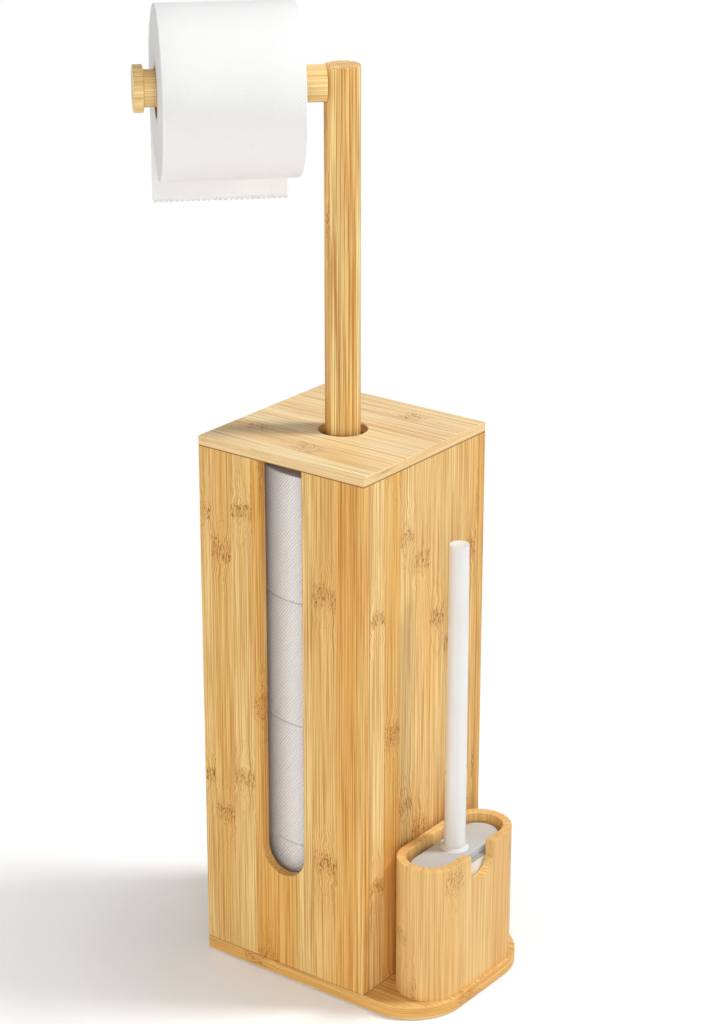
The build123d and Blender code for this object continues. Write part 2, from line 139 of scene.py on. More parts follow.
def bambooMaterial(name, along, across, through, strip, seed, tones="panel", every=230.0, contrast=1.0,
                   seams=0.2, plies=0.0, joints=(), aroundHolder=False, plain=0.38):
    # Laminated bamboo: strips planed flat and glued side by side. Each strip has its own tone. Flat-grain
    # strips show arched fibres and dark scrawled knuckles where the culm had its joints, edge-grain ones
    # show straight brown lines. Satin varnish over it, and a painted shadow line where two boards meet.
    material, tree, shader = newMaterial(name, Roughness=0.42, IOR=1.45, Specular_IOR_Level=0.25,
                                         Coat_Weight=0.05, Coat_Roughness=0.3)
    place = addNode(tree, "TexCoord", output="Object")
    place = addNode(tree, "VectorMath", {0: place, "Scale": 1000.0}, operation="SCALE")  # now in mm
    # along the board, across its strips and through it
    l, a, t = (addNode(tree, "VectorMath", {0: place, 1: way}, output="Value", operation="DOT_PRODUCT")
               for way in (along, across, through))
    if aroundHolder:
        # the way round the holder's wall, so that the strips follow its round ends
        x = addNode(tree, "SeparateXYZ", {0: place})
        y = x.node.outputs[1]
        x = addNode(tree, "Math", {0: x, 1: stand["holderX"]}, operation="SUBTRACT")
        straight = addNode(tree, "Clamp", {"Value": y, "Min": -stand["holderStraight"],
                                           "Max": stand["holderStraight"]})
        end = addNode(tree, "Math", {0: y, 1: straight}, operation="SUBTRACT")
        wide = addNode(tree, "Math", {0: x}, operation="ABSOLUTE")
        angle = addNode(tree, "Math", {0: end, 1: wide}, operation="ARCTAN2")
        a = addNode(tree, "Math", {0: angle, 1: bamboo["holderRadius"], 2: straight},
                    operation="MULTIPLY_ADD")
        side = addNode(tree, "Math", {0: x, 1: 0.0}, operation="LESS_THAN")
        a = addNode(tree, "Math", {0: side, 1: bamboo["holderInner"], 2: a}, operation="MULTIPLY_ADD")
        t = addNode(tree, "Math", {0: x, 1: 0.2}, operation="MULTIPLY")
    if plies:
        # the edges of a board glued from thin layers show them as long lines
        normal = addNode(tree, "TexCoord", output="Normal")
        up = addNode(tree, "VectorMath", {0: normal, 1: zWay}, output="Value", operation="DOT_PRODUCT")
        up = addNode(tree, "Math", {0: up}, operation="ABSOLUTE")
        edge = addNode(tree, "Math", {0: up, 1: 0.5}, operation="LESS_THAN")
        height = addNode(tree, "VectorMath", {0: place, 1: (0, 0, strip / plies)}, output="Value",
                         operation="DOT_PRODUCT")
        run = addNode(tree, "VectorMath", {0: place, 1: (1, 1, 0)}, output="Value", operation="DOT_PRODUCT")
        a = addNode(tree, "Mix", {0: edge, 2: a, 3: height}, data_type="FLOAT")
        l = addNode(tree, "Mix", {0: edge, 2: l, 3: run}, data_type="FLOAT")
        t = addNode(tree, "Mix", {0: edge, 2: t, 3: 0.0}, data_type="FLOAT")
    # one cell for each strip; its colour gives three random numbers, and its middle the place across it
    cell = addNode(tree, "Math", {0: a, 1: 1 / strip, 2: seed}, operation="MULTIPLY_ADD")
    cells = {"W": cell, "Scale": 1.0, "Randomness": bamboo["unevenStrips"]}
    tone = addNode(tree, "TexVoronoi", cells, output="Color", voronoi_dimensions="1D")
    middle = tone.node.outputs["W"]
    tone = addNode(tree, "SeparateColor", {0: tone})
    shift = tone.node.outputs[1]
    habit = tone.node.outputs[2]
    off = addNode(tree, "Math", {0: cell, 1: middle}, operation="SUBTRACT")
    off = addNode(tree, "Math", {0: off, 1: off}, operation="MULTIPLY")
    bow = addNode(tree, "Math", {0: off, 1: 4.0}, operation="MULTIPLY")  # 0 in the middle, 1 at the seams
    border = addNode(tree, "TexVoronoi", cells, output="Distance", voronoi_dimensions="1D",
                     feature="DISTANCE_TO_EDGE")
    flat = addNode(tree, "MapRange", {"Value": habit, 1: plain, 2: plain + 0.08})
    # where along the strip its knuckles are: the distance to the nearest one, in mm
    wave = addNode(tree, "TexNoise", {"W": cell, "Scale": 2.4, "Detail": 1.0}, noise_dimensions="1D")
    spread = addNode(tree, "Math", {0: l, 1: 1 / every, 2: shift}, operation="MULTIPLY_ADD")
    spread = addNode(tree, "Math", {0: shift, 1: 5.0, 2: spread}, operation="MULTIPLY_ADD")
    spread = addNode(tree, "Math", {0: wave, 1: 10 / every, 2: spread}, operation="MULTIPLY_ADD")
    spread = addNode(tree, "Math", {0: spread}, operation="FRACT")
    spread = addNode(tree, "Math", {0: spread, 1: 0.5}, operation="SUBTRACT")
    spread = addNode(tree, "Math", {0: spread}, operation="ABSOLUTE")
    spread = addNode(tree, "Math", {0: spread, 1: every}, operation="MULTIPLY")
    shortest, longest = bamboo["knuckleReach"]
    reach = addNode(tree, "MapRange", {"Value": tone, 3: shortest, 4: longest})
    near = addNode(tree, "MapRange", {"Value": spread, 1: 3.0, 2: reach, 3: 1.0, 4: 0.0},
                   interpolation_type="SMOOTHSTEP")
    around = addNode(tree, "MapRange", {"Value": spread, 1: 0.0, 2: bamboo["bendReach"], 3: 1.0, 4: 0.0},
                     interpolation_type="SMOOTHSTEP")
    around = addNode(tree, "Math", {0: around, 1: flat}, operation="MULTIPLY")
    # fibres run along the strip and bend round the knuckles
    bend = addNode(tree, "CombineXYZ", {0: a, 1: l, 2: t})
    bend = addNode(tree, "TexNoise", {"Vector": bend, "Scale": 0.09, "Detail": 1.0})
    bend = addNode(tree, "Math", {0: bend, 1: 0.5}, operation="SUBTRACT")
    bend = addNode(tree, "Math", {0: bend, 1: around}, operation="MULTIPLY")
    bent = addNode(tree, "Math", {0: bend, 1: bamboo["bendAside"], 2: a}, operation="MULTIPLY_ADD")
    fineAlong = addNode(tree, "Math", {0: l, 1: 0.008}, operation="MULTIPLY")
    lane = addNode(tree, "Math", {0: shift, 1: 40.0, 2: fineAlong}, operation="MULTIPLY_ADD")
    fineAcross = addNode(tree, "Math", {0: bent, 1: 1.1}, operation="MULTIPLY")
    fineThrough = addNode(tree, "Math", {0: t, 1: 0.9}, operation="MULTIPLY")
    grain = addNode(tree, "CombineXYZ", {0: fineAcross, 1: lane, 2: fineThrough})
    fibres = addNode(tree, "TexNoise", {"Vector": grain, "Scale": 1.0, "Detail": 3.0, "Roughness": 0.62})
    lines = addNode(tree, "TexNoise", {"Vector": grain, "Scale": 1.1 / bamboo["linePitch"], "Detail": 2.0,
                                       "Roughness": 0.7})
    lines = addNode(tree, "MapRange", {"Value": lines, 1: 0.53, 2: 0.68})
    # flat grain: faint arches, which close towards the knuckles
    arch = addNode(tree, "Math", {0: spread, 1: 1 / bamboo["archLength"], 2: bow}, operation="MULTIPLY_ADD")
    arch = addNode(tree, "Math", {0: shift, 1: 30.0, 2: arch}, operation="MULTIPLY_ADD")
    arch = addNode(tree, "Math", {0: bend, 1: 0.8, 2: arch}, operation="MULTIPLY_ADD")
    arch = addNode(tree, "TexNoise", {"W": arch, "Scale": 4.5, "Detail": 2.0, "Roughness": 0.7},
                   noise_dimensions="1D")
    arch = addNode(tree, "MapRange", {"Value": arch, 1: 0.5, 2: 0.66})
    # knuckles: dark arcs that close round the joint, broken into dashes
    half = addNode(tree, "Math", {0: spread, 1: 0.5}, operation="MULTIPLY")
    half = addNode(tree, "Math", {0: half, 1: half}, operation="MULTIPLY")
    ring = addNode(tree, "Math", {0: bow, 1: strip * strip / 4, 2: half}, operation="MULTIPLY_ADD")
    ring = addNode(tree, "Math", {0: ring}, operation="SQRT")
    slow = addNode(tree, "Math", {0: l, 1: 0.35}, operation="MULTIPLY")
    scrawl = addNode(tree, "CombineXYZ", {0: a, 1: slow, 2: lane})
    ripple = addNode(tree, "TexNoise", {"Vector": scrawl, "Scale": 0.24, "Detail": 2.0, "Roughness": 0.6})
    phase = addNode(tree, "Math", {0: ripple, 1: 5.0 * bamboo["arcPitch"], 2: ring},
                    operation="MULTIPLY_ADD")
    phase = addNode(tree, "Math", {0: phase, 1: 2 * math.pi / bamboo["arcPitch"]}, operation="MULTIPLY")
    arcs = addNode(tree, "Math", {0: phase}, operation="SINE")
    arcs = addNode(tree, "MapRange", {"Value": arcs, 1: 0.1, 2: 0.8}, interpolation_type="SMOOTHSTEP")
    dash = addNode(tree, "TexNoise", {"Vector": scrawl, "Scale": 0.6, "Detail": 2.0, "Roughness": 0.6})
    dash = addNode(tree, "MapRange", {"Value": dash, 1: 0.42, 2: 0.54}, interpolation_type="SMOOTHSTEP")
    knuckle = addNode(tree, "Math", {0: arcs, 1: dash}, operation="MULTIPLY")
    knuckle = addNode(tree, "Math", {0: knuckle, 1: near}, operation="MULTIPLY")
    # tone of the strip, drifting slowly along it
    drift = addNode(tree, "CombineXYZ", {0: cell, 1: fineAlong, 2: shift})
    drift = addNode(tree, "TexNoise", {"Vector": drift, "Scale": 0.9, "Detail": 1.0})
    depth = addNode(tree, "Math", {0: tone, 1: bamboo["toneShare"] * contrast}, operation="MULTIPLY")
    depth = addNode(tree, "Math", {0: drift, 1: bamboo["driftShare"], 2: depth}, operation="MULTIPLY_ADD")
    depth = addNode(tree, "Math", {0: depth, 1: bamboo["toneBase"]}, operation="SUBTRACT", use_clamp=True)
    pale, warm = (linear(tint) for tint in bamboo[tones])
    colour = addNode(tree, "Mix", {0: depth, 6: pale, 7: warm}, output=2, data_type="RGBA")
    # what darkens the strip, its grain, its seams and the painted shadow where two boards meet: how much of
    # each there is at a point, and its colour
    share = addNode(tree, "MapRange", {"Value": fibres, 1: 0.44, 2: 0.61, 3: 0.0,
                                       4: bamboo["fibreShare"] * contrast})
    stainsAndShade = [(share, "fibre")]
    edgeGrain = addNode(tree, "Math", {0: flat, 1: -0.5, 2: 1.0}, operation="MULTIPLY_ADD")
    for mark, where, most, tint in (
            (lines, edgeGrain, bamboo["fibreShare"] * contrast, "fibre"),
            (arch, around, bamboo["archShare"] * contrast, "fibre"),
            (near, flat, bamboo["haloShare"] * contrast, "fibre"),
            (knuckle, flat, bamboo["knuckleShare"] * min(1, contrast + 0.15), "knuckle")):
        share = addNode(tree, "Math", {0: mark, 1: where}, operation="MULTIPLY")
        share = addNode(tree, "Math", {0: share, 1: most}, operation="MULTIPLY", use_clamp=True)
        stainsAndShade.append((share, tint))
    seam = addNode(tree, "MapRange", {"Value": border, 1: 0.0, 2: bamboo["seamWidth"] / strip,
                                      3: seams, 4: 0.0})
    stainsAndShade.append((seam, "seam"))
    full, faded = bamboo["jointShadowLine"]
    for way, level, darkness in joints:
        # the painted shadow line of a butt joint, a third of a millimetre wide; drawn at 1 mm so that it
        # shows
        apart = addNode(tree, "VectorMath", {0: place, 1: way}, output="Value", operation="DOT_PRODUCT")
        apart = addNode(tree, "Math", {0: apart, 1: level}, operation="SUBTRACT")
        apart = addNode(tree, "Math", {0: apart}, operation="ABSOLUTE")
        share = addNode(tree, "MapRange", {"Value": apart, 1: full, 2: faded, 3: darkness, 4: 0.0})
        stainsAndShade.append((share, "jointShadow"))
    for share, tint in stainsAndShade:
        colour = addNode(tree, "Mix", {0: share, 6: colour, 7: linear(bamboo[tint])}, output=2,
                         data_type="RGBA")
    tree.links.new(colour, shader.inputs["Base Color"])
    # open pores of the fibres, a few hundredths of a millimetre deep
    relief = addNode(tree, "Math", {0: fibres, 1: -0.6, 2: 1.0}, operation="MULTIPLY_ADD")
    relief = addNode(tree, "Math", {0: seam, 1: -1.0, 2: relief}, operation="MULTIPLY_ADD")
    bump = addNode(tree, "Bump", {"Height": relief, "Strength": 0.35, "Distance": bamboo["poreDepth"] * mm},
                   output="Normal")
    tree.links.new(bump, shader.inputs["Normal"])
    gloss = addNode(tree, "MapRange", {"Value": fibres, 1: 0.3, 2: 0.8, 3: 0.38, 4: 0.52})
    tree.links.new(gloss, shader.inputs["Roughness"])
    return material


inner = stand["towerHalf"] - stand["panel"]
# where two boards meet: the place of each painted shadow line and its darkness
rims = ((zWay, stand["lidBottom"], 0.95), (zWay, stand["plateTop"], 0.85))
frontLines = rims + ((yWay, -inner, 0.5),)
backLines = rims + ((yWay, inner, 0.5),)
sideLines = frontLines + ((yWay, inner, 0.5),)
boards = {"along": zWay, "across": yWay, "through": xWay, "strip": 20.0, "tones": "side",
          "joints": sideLines}
dress(bambooMaterial("bambooFront", zWay, xWay, yWay, 20.0, 3.1, joints=frontLines), "front_panel")
dress(bambooMaterial("bambooBack", zWay, xWay, yWay, 20.0, 9.7, joints=backLines), "back_panel")
dress(bambooMaterial("bambooRight", seed=21.3, **boards), "right_panel")
dress(bambooMaterial("bambooLeft", seed=33.8, **boards), "left_panel", "corner_battens")
dress(bambooMaterial("bambooLid", xWay, yWay, zWay, 18.0, 5.2, "lid", every=190.0, contrast=0.68,
                     plies=2.7, joints=rims[:1], plain=0.6), "lid", "lid_blocks")
dress(bambooMaterial("bambooBase", xWay, yWay, zWay, 18.0, 14.6, contrast=0.8, plies=15.0, plain=0.6),
      "base_plate")
dress(bambooMaterial("bambooPost", zWay, (0.8, -0.6, 0), (0.6, 0.8, 0), 5.6, 2.4, "post", contrast=1.15,
                     seams=0.3, plain=0.85), "post")
dress(bambooMaterial("bambooArm", tuple(armWay), zWay, tuple(armSide), 3.0, 7.7, "arm", contrast=0.5,
                     seams=0.3, plain=0.9), "arm", "arm_knob", "knob_dowel")
dress(bambooMaterial("bambooHolder", zWay, yWay, xWay, 21.0, 11.9, "holder", every=150.0, contrast=0.55,
                     aroundHolder=True, plain=0.2), "brush_holder")
print("bamboo boards dressed")


def evenMaterial(name, light, dark, roughness, grit, blotch, depth=0.03, **sockets):
    # an even surface as it really is: a fine grit, faint blotches of tone, and gloss that varies with them
    material, tree, shader = newMaterial(name, **sockets)
    place = addNode(tree, "TexCoord", output="Object")
    patches = addNode(tree, "TexNoise", {"Vector": place, "Scale": 1 / (blotch * mm), "Detail": 3.0})
    share = addNode(tree, "MapRange", {"Value": patches, 1: 0.35, 2: 0.7})
    colour = addNode(tree, "Mix", {0: share, 6: linear(light), 7: linear(dark)}, output=2, data_type="RGBA")
    tree.links.new(colour, shader.inputs["Base Color"])
    gloss = addNode(tree, "MapRange", {"Value": patches, 1: 0.3, 2: 0.7, 3: roughness - 0.04,
                                       4: roughness + 0.05})
    tree.links.new(gloss, shader.inputs["Roughness"])
    grain = addNode(tree, "TexNoise", {"Vector": place, "Scale": 1 / (grit * mm), "Detail": 2.0})
    bump = addNode(tree, "Bump", {"Height": grain, "Strength": 0.15, "Distance": depth * mm},
                   output="Normal")
    tree.links.new(bump, shader.inputs["Normal"])
    return material


# moulded polypropylene, with a soft sheen; a mould's spark texture is about 0.1 mm, drawn at 0.6 mm
dress(evenMaterial("polypropyleneWhite", "F2F2F1", "ECECEB", 0.3, 0.6, 60, IOR=1.49),
      "cup_shell", "brush_handle")
dress(evenMaterial("polypropyleneGrey", "A9ABAD", "A1A3A5", 0.42, 0.6, 40, IOR=1.49),
      "cup_liner", "brush_blade")
dress(evenMaterial("polypropylenePaleGrey", "CBCDCF", "C3C5C7", 0.38, 0.6, 40, IOR=1.49), "brush_plate")
# moulded silicone and rubber are matt; their grit is drawn at about 1 mm so that it shows
silicone = evenMaterial("siliconeGrey", "BCBEBE", "B0B2B2", 0.5, 0.9, 12, IOR=1.42)
dress(silicone, "brush_head")
dress(evenMaterial("rubberBlack", "222223", "1A1A1B", 0.8, 1.1, 9, depth=0.08), "base_feet")
# turned nylon is milky, zinc plate a dull grey mirror, and turned brass a brighter yellow one
dress(evenMaterial("nylonNatural", "E8E4D8", "DDD8C8", 0.45, 0.6, 12, IOR=1.52), "pivot_bush")
dress(evenMaterial("steelZincPlated", "C2C5C9", "A8ABB0", 0.32, 0.8, 3, Metallic=1.0),
      "base_screws", "pivot_bolt", "pivot_washer", "arm_stud")
dress(evenMaterial("brassTurned", "D0AC62", "BB9550", 0.28, 0.8, 5, Metallic=1.0),
      "pivot_insert", "arm_insert")
print("plastic, rubber and metal dressed")

emboss = {
    "way": (0.77, 0.64),      # across the ribs, round the roll and along its axis
    "ribPitch": 2.1,
    "crossPitch": 2.6,
    "crepe": 1.2,
}


def tissueMaterial(name, ribs, cross, light, grooveShade, depth):
    # Toilet tissue: soft white crepe, embossed with fine diagonal ribs, and no gloss at all
    material, tree, shader = newMaterial(name, Roughness=0.95, IOR=1.4, Specular_IOR_Level=0.15,
                                         Sheen_Weight=0.15)
    place = addNode(tree, "TexCoord", output="UV")
    # real embossing repeats every 1.5 mm or so; drawn at 2.1 and 2.6 mm so that it shows
    around, up = emboss["way"]
    waves = []
    for way, pitch in (((around, up, 0), emboss["crossPitch"]), ((-around, up, 0), emboss["ribPitch"])):
        wave = addNode(tree, "VectorMath", {0: place, 1: way}, output="Value", operation="DOT_PRODUCT")
        wave = addNode(tree, "Math", {0: wave, 1: 2 * math.pi / (pitch * mm)}, operation="MULTIPLY")
        waves.append(addNode(tree, "Math", {0: wave}, operation="SINE"))
    grid = addNode(tree, "Math", {0: waves[0], 1: cross}, operation="MULTIPLY")
    grid = addNode(tree, "Math", {0: waves[1], 1: ribs, 2: grid}, operation="MULTIPLY_ADD")
    crepe = addNode(tree, "TexNoise", {"Vector": place, "Scale": 1 / (emboss["crepe"] * mm), "Detail": 3.0})
    height = addNode(tree, "Math", {0: crepe, 1: 1.2, 2: grid}, operation="MULTIPLY_ADD")
    # painted shade in the grooves of the embossing, deepest where the paper lies lowest
    grooveShadeShare = addNode(tree, "MapRange", {"Value": height, 1: 0.8, 2: -0.9, 3: 0.0, 4: 0.8})
    colour = addNode(tree, "Mix", {0: grooveShadeShare, 6: linear(light), 7: linear(grooveShade)}, output=2,
                     data_type="RGBA")
    tree.links.new(colour, shader.inputs["Base Color"])
    bump = addNode(tree, "Bump", {"Height": height, "Strength": 0.8, "Distance": depth * mm},
                   output="Normal")
    tree.links.new(bump, shader.inputs["Normal"])
    return material


def woundMaterial(name):
    # the end of a wound roll: the edges of its turns, as fine rings
    material, tree, shader = newMaterial(name, Roughness=0.95, IOR=1.4, Specular_IOR_Level=0.15)
    place = addNode(tree, "TexCoord", output="UV")
    radius = addNode(tree, "SeparateXYZ", {0: place}, output=1)
    # a turn is about 0.25 mm thick; the rings are drawn at 1.1 mm so that they show
    ring = addNode(tree, "TexNoise", {"W": radius, "Scale": 1 / (1.1 * mm), "Detail": 2.0},
                   noise_dimensions="1D")
    colour = addNode(tree, "Mix", {0: ring, 6: linear("FDFDFD"), 7: linear("F1F1F1")}, output=2,
                     data_type="RGBA")
    tree.links.new(colour, shader.inputs["Base Color"])
    fleck = addNode(tree, "TexNoise", {"Vector": place, "Scale": 1 / (3 * mm), "Detail": 2.0})
    height = addNode(tree, "Math", {0: fleck, 1: 0.5, 2: ring}, operation="MULTIPLY_ADD")
    bump = addNode(tree, "Bump", {"Height": height, "Strength": 0.6, "Distance": 0.3 * mm},
                   output="Normal")
    tree.links.new(bump, shader.inputs["Normal"])
    return material


tissue = tissueMaterial("tissueQuilted", 0.7, 0.7, "F5F5F5", "F0F0F1", 0.06)
# the spare rolls' paper is paler, as painted light, and their grooves pinkish, as painted warm shade, for
# the slot where they stand
ribbedTissue = tissueMaterial("tissueRibbed", 1.0, 0.45, "FCFBFB", "DCD3D1", 0.25)
woundEdge = woundMaterial("tissueWoundEdge")
# grey-brown cardboard, matt, with a loose grit
dress(evenMaterial("boardCore", "BCA283", "96795B", 0.85, 1.5, 3, depth=0.1),
      *[name for name in nodes if "core" in name])


def finishPiece(name, mesh, materials, body, replaced):
    # turns a bmesh into a shown piece that rides on a body and stands for CAD nodes
    data = bpy.data.meshes.new(name)
    mesh.to_mesh(data)
    mesh.free()
    piece = addObject(name, data)
    for material in materials:
        data.materials.append(material)
    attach(piece, body)
    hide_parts(*replaced)
    return piece


def spinProfile(mesh, points, steps):
    # a closed profile of (radius, height) in mm, spun round Z
    ring = [mesh.verts.new((r * mm, 0, z * mm)) for r, z in points]
    edges = [mesh.edges.new((ring[i], ring[(i + 1) % len(ring)])) for i in range(len(ring))]
    bmesh.ops.spin(mesh, geom=ring + edges, cent=(0, 0, 0), axis=(0, 0, 1), angle=2 * math.pi, steps=steps,
                   use_merge=True)
    bmesh.ops.recalc_face_normals(mesh, faces=mesh.faces)


roll = {
    "radius": 65.5,
    "coreRadius": 19.0,
    "width": 105.5,
    "shoulder": 0.9,     # the soft rounding of the outer turns
    "dish": 0.45,        # how far they stand back from the core's ends, for a dark line between two rolls
    "steps": 144,
    "sag": 0.25,         # how far the wound paper is from a true circle
    "spares": 4,
    "spareTurn": 0.9,    # radians from one spare roll to the next, so that their windings differ
}


def makeRoll(name, body, replaced, place, seed, paper):
    mesh = bmesh.new()
    r, w, s, c, dish = (roll[key] for key in ("radius", "width", "shoulder", "coreRadius", "dish"))
    profile = [(c, 0), (c + 6, dish * 0.4), ((c + r) / 2, dish * 0.8), (r - 3 * s, dish), (r - s, dish)]
    profile += [(r - s + s * math.sin(math.radians(d)), dish + s - s * math.cos(math.radians(d)))
                for d in (30, 60)]
    profile += [(r, dish + s), (r, w * 0.25), (r, w * 0.5)]
    profile += [(x, w - z) for x, z in reversed(profile[:-1])]
    spinProfile(mesh, profile, roll["steps"])
    for vert in mesh.verts:
        outward = Vector((vert.co.x, vert.co.y, 0))
        if outward.length > (c + 1) * mm:
            drift = noise.noise(Vector((vert.co.x * 30, vert.co.y * 30, vert.co.z * 12 + seed)))
            vert.co -= outward.normalized() * (0.5 + 0.5 * drift) * roll["sag"] * mm
    layer = mesh.loops.layers.uv.new("UVMap")
    for face in mesh.faces:
        middle = face.calc_center_median()
        turn = math.atan2(middle.y, middle.x)
        flat = abs(face.normal.z) > 0.7
        face.material_index = 1 if flat else 0
        face.smooth = True
        for loop in face.loops:
            co = loop.vert.co
            angle = math.atan2(co.y, co.x)
            angle += 2 * math.pi * round((turn - angle) / (2 * math.pi))
            loop[layer].uv = (angle * r * mm, co.xy.length if flat else co.z)
    bmesh.ops.transform(mesh, matrix=place, verts=mesh.verts)
    return finishPiece(name, mesh, (paper, woundEdge), body, replaced)


armAxes = Matrix((armSide, (0, 0, 1), armWay)).transposed().to_4x4()
armPlace = Matrix.Translation(armWay * stand["rollStart"] * mm + Vector((0, 0, stand["rollHeight"] * mm)))
makeRoll("armRoll", "roll", ["arm_roll"], armPlace @ armAxes, 1.0, tissue)
for number in range(roll["spares"]):
    height = (stand["plateTop"] + number * roll["width"]) * mm
    place = Matrix.Translation((0, 0, height)) @ Matrix.Rotation(roll["spareTurn"] * number, 4, "Z")
    makeRoll(f"spareRoll{number + 1}", "stand", [f"spare_roll_{number + 1}"], place, 3.0 + number,
             ribbedTissue)
print("paper rolls wound")

tail = {
    "inner": 65.95,      # radius at which the paper leaves the roll
    "wrap": 40,          # degrees of the roll that it still covers
    "wrapStep": 4,
    "drop": 100.0,       # below the roll's axis
    "rows": 24,
    "width": 105.5,
    "columns": 150,
    "toothPitch": 4.22,
    "toothDepth": 1.5,
    "toothFoot": 0.2,    # what the longest teeth keep clear of the drop
    "curl": 0.12,
    "thickness": 0.25,
}


def makeTail():
    mesh = bmesh.new()
    layer = mesh.loops.layers.uv.new("UVMap")
    # the way down the sheet: round the roll's rear, then straight down, in the roll's own plane
    path = [(-tail["inner"] * math.cos(math.radians(a)), tail["inner"] * math.sin(math.radians(a)))
            for a in range(tail["wrap"], 0, -tail["wrapStep"])]
    path += [(-tail["inner"], -tail["drop"] * i / tail["rows"]) for i in range(tail["rows"] + 1)]
    columns = [tail["width"] * i / tail["columns"] for i in range(tail["columns"] + 1)]
    top = [mesh.verts.new((path[0][0] * mm, path[0][1] * mm, c * mm)) for c in columns]
    strip = [mesh.edges.new((top[i], top[i + 1])) for i in range(len(top) - 1)]
    for step in range(1, len(path)):
        extruded = bmesh.ops.extrude_edge_only(mesh, edges=strip)["geom"]
        strip = [g for g in extruded if isinstance(g, bmesh.types.BMEdge)]
        fresh = [g for g in extruded if isinstance(g, bmesh.types.BMVert)]
        move = (Vector(path[step]) - Vector(path[step - 1])) * mm
        bmesh.ops.translate(mesh, verts=fresh, vec=(move.x, move.y, 0))
    lowest = -tail["drop"] * mm
    for vert in mesh.verts:
        fall = max(0.0, -vert.co.y) / (tail["drop"] * mm)
        along = vert.co.z / mm
        # the free end hangs in a slight curl and its torn edge is scalloped
        vert.co.x -= tail["curl"] * mm * fall * (1 + math.sin(along * 0.05 + 0.6))
        if vert.co.y < lowest + 0.1 * mm:
            tooth = abs(math.sin(math.pi * along / tail["toothPitch"]))
            vert.co.y += (1 - tooth) * tail["toothDepth"] * mm + tail["toothFoot"] * mm
    for face in mesh.faces:
        face.smooth = True
        for loop in face.loops:
            loop[layer].uv = (loop.vert.co.y, loop.vert.co.z)
    bmesh.ops.transform(mesh, matrix=armPlace @ armAxes, verts=mesh.verts)
    piece = finishPiece("paperTail", mesh, (tissue,), "swivel", ["paper_tail"])
    thick = piece.modifiers.new("thickness", "SOLIDIFY")
    thick.thickness = tail["thickness"] * mm
    thick.offset = 0


makeTail()
print("paper tail hung")

head = {
    "length": 84.0,
    "halfTop": 37.0,
    "halfFoot": 22.0,
    "thickness": 10.0,
    "corner": 16.0,
    "rim": 1.4,          # rounding of the edges round both faces
    "fingerLength": 5.5,
    "fingerRadius": 0.85,
    "tipRadius": 0.6,
    "tipRise": 0.25,     # of the round tip, above a ring that is set in by tipInset
    "tipInset": 0.28,
    "root": 0.3,         # how deep a finger starts in the sleeve
    "rowPitch": 4.1,
    "columnPitch": 3.0,
    "slant": 27.0,       # degrees that the rows fall towards the back
    "margin": 3.0,
    "topMargin": 2.5,
}


def makeHead():
    mesh = bmesh.new()
    half, foot, length = head["halfTop"], head["halfFoot"], head["length"]
    corners = [(-half, 0), (-foot, -length), (foot, -length), (half, 0)]
    verts = [mesh.verts.new((-head["thickness"] / 2, y, z)) for y, z in corners]
    mesh.faces.new(verts)
    bmesh.ops.bevel(mesh, geom=verts[1:3], offset=head["corner"] * 0.9, segments=8, profile=0.5,
                    affect="VERTICES", material=-1)
    extruded = bmesh.ops.extrude_face_region(mesh, geom=mesh.faces[:])["geom"]
    bmesh.ops.translate(mesh, verts=[g for g in extruded if isinstance(g, bmesh.types.BMVert)],
                        vec=(head["thickness"], 0, 0))
    bmesh.ops.recalc_face_normals(mesh, faces=mesh.faces)
    rim = [e for e in mesh.edges if abs(e.verts[0].co.x - e.verts[1].co.x) < 0.1]
    bmesh.ops.bevel(mesh, geom=rim, offset=head["rim"], segments=3, profile=0.5, affect="EDGES",
                    material=-1)
    # where the fingers stand: slanting rows, every other one half a step aside, clear of the outline
    fingers = []
    slope = (half - foot) / length
    slant = math.tan(math.radians(head["slant"]))
    rows = int((length + 2 * half * slant) / head["rowPitch"])
    columns = int(half / head["columnPitch"]) + 1
    for row in range(rows):
        for step in range(-columns, columns + 1):
            y = step * head["columnPitch"] + (row % 2) * head["columnPitch"] / 2
            z = half * slant - (row + 0.5) * head["rowPitch"] - y * slant
            if z > -head["topMargin"] or z < -length + head["margin"]:
                continue
            reach = half + slope * z - head["margin"]
            low = -length + head["corner"] - z
            if low > 0:
                bulge = math.sqrt(max(0, head["corner"] ** 2 - low ** 2))
                reach = min(reach, foot + slope * 8 - head["corner"] + bulge - head["margin"] * 0.3)
            if abs(y) < reach:
                fingers.append((y, z))
    # one finger: a short taper with a round tip, copied over both broad faces
    out = head["thickness"] / 2 + head["fingerLength"] / 2 - head["root"]
    for side in (-1, 1):
        for y, z in fingers:
            turn = Matrix.Translation((side * out, y, z)) @ Matrix.Rotation(side * math.pi / 2, 4, "Y")
            made = bmesh.ops.create_cone(mesh, cap_ends=True, segments=8, radius1=head["fingerRadius"],
                                         radius2=head["tipRadius"], depth=head["fingerLength"], matrix=turn)
            tip = max((f for v in made["verts"] for f in v.link_faces if len(f.verts) > 4),
                      key=lambda f: side * f.calc_center_median().x)
            bmesh.ops.inset_individual(mesh, faces=[tip], thickness=head["tipInset"])
            bmesh.ops.translate(mesh, verts=tip.verts, vec=(side * head["tipRise"], 0, 0))
    for face in mesh.faces:
        face.smooth = True
    bmesh.ops.transform(mesh, matrix=Matrix.Scale(mm, 4), verts=mesh.verts)
    bmesh.ops.translate(mesh, verts=mesh.verts, vec=(stand["holderX"] * mm, 0, stand["cupTop"] * mm))
    finishPiece("bristleHead", mesh, (silicone,), "brush", ["brush_head"])
    print("brush head with", 2 * len(fingers), "fingers")


makeHead()

